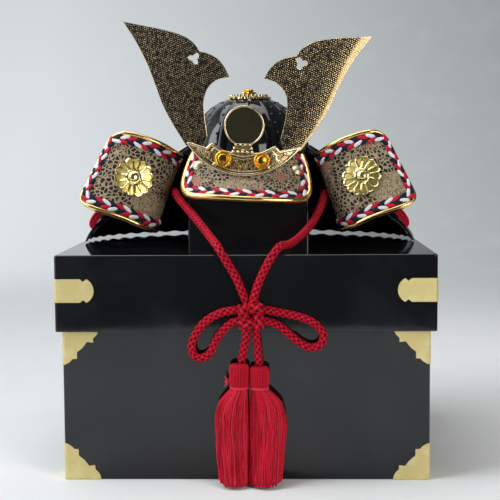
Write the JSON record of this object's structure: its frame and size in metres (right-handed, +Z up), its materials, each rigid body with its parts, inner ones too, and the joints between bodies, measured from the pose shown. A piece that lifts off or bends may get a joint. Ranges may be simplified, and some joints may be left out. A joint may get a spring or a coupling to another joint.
{
  "type": "kabuto helmet on storage box",
  "caption": "Decorative samurai helmet with gold horned crest, turned-back flaps and tiered neck guard, tied with a red tasselled cord on its lacquered lift-lid storage box.",
  "frame": {"origin": "centre of the box's underside, on the surface it stands on", "axes": "+Z up, -Y towards the front of the helmet, +X to the right as seen from the front"},
  "size_m": [0.2708, 0.2744, 0.3328],
  "materials": {
    "box_lacquer": "black lacquer, high gloss",
    "stand_lacquer": "black lacquer, satin",
    "helmet_lacquer": "black lacquer, gloss",
    "foil": "thin pressed gold foil, speckled",
    "gold": "polished gold plate",
    "dark_gold": "antique dark gold, stippled",
    "mirror_metal": "polished dark bronze",
    "leather": "printed tan leather, matte",
    "braid": "woven braid in red, white and navy",
    "cord": "crimson braided silk"
  },
  "bodies": {
    "root": {"box_base": "box_lacquer", "box_lid": "box_lacquer", "lid_strap_front_left": "foil", "lid_strap_front_right": "foil", "lid_strap_back_right": "foil", "lid_strap_back_left": "foil", "base_foil_bottom_front_left": "foil", "base_foil_bottom_front_right": "foil", "base_foil_bottom_back_right": "foil", "base_foil_bottom_back_left": "foil", "base_foil_top_front_left": "foil", "base_foil_top_front_right": "foil", "base_foil_top_back_right": "foil", "base_foil_top_back_left": "foil", "stand": "stand_lacquer", "bowl": "helmet_lacquer", "crown_plate": "gold", "crown_finial": "gold", "visor": "leather", "visor_rim": "gold", "visor_braid": "braid", "visor_stud_left": "gold", "visor_stud_right": "gold", "crest_holder": "dark_gold", "crest_rosette_left": "gold", "crest_rosette_right": "gold", "mirror_disc": "mirror_metal", "mirror_base": "dark_gold", "horn_left": "dark_gold", "horn_right": "dark_gold", "flap_left": "leather", "flap_right": "leather", "flap_rim_left": "gold", "flap_rim_right": "gold", "flap_braid_left": "braid", "flap_braid_right": "braid", "flap_rosette_left": "gold", "flap_rosette_right": "gold", "neck_guard_tier_1": "helmet_lacquer", "neck_guard_tier_2": "helmet_lacquer", "neck_guard_tier_3": "helmet_lacquer", "neck_guard_tier_4": "helmet_lacquer", "chin_cord": "cord", "cord_knot": "cord", "cord_loop_left": "cord", "cord_loop_right": "cord", "cord_tail_left": "cord", "cord_tail_right": "cord", "tassel_left": "cord", "tassel_right": "cord"}
  },
  "joints": []
}
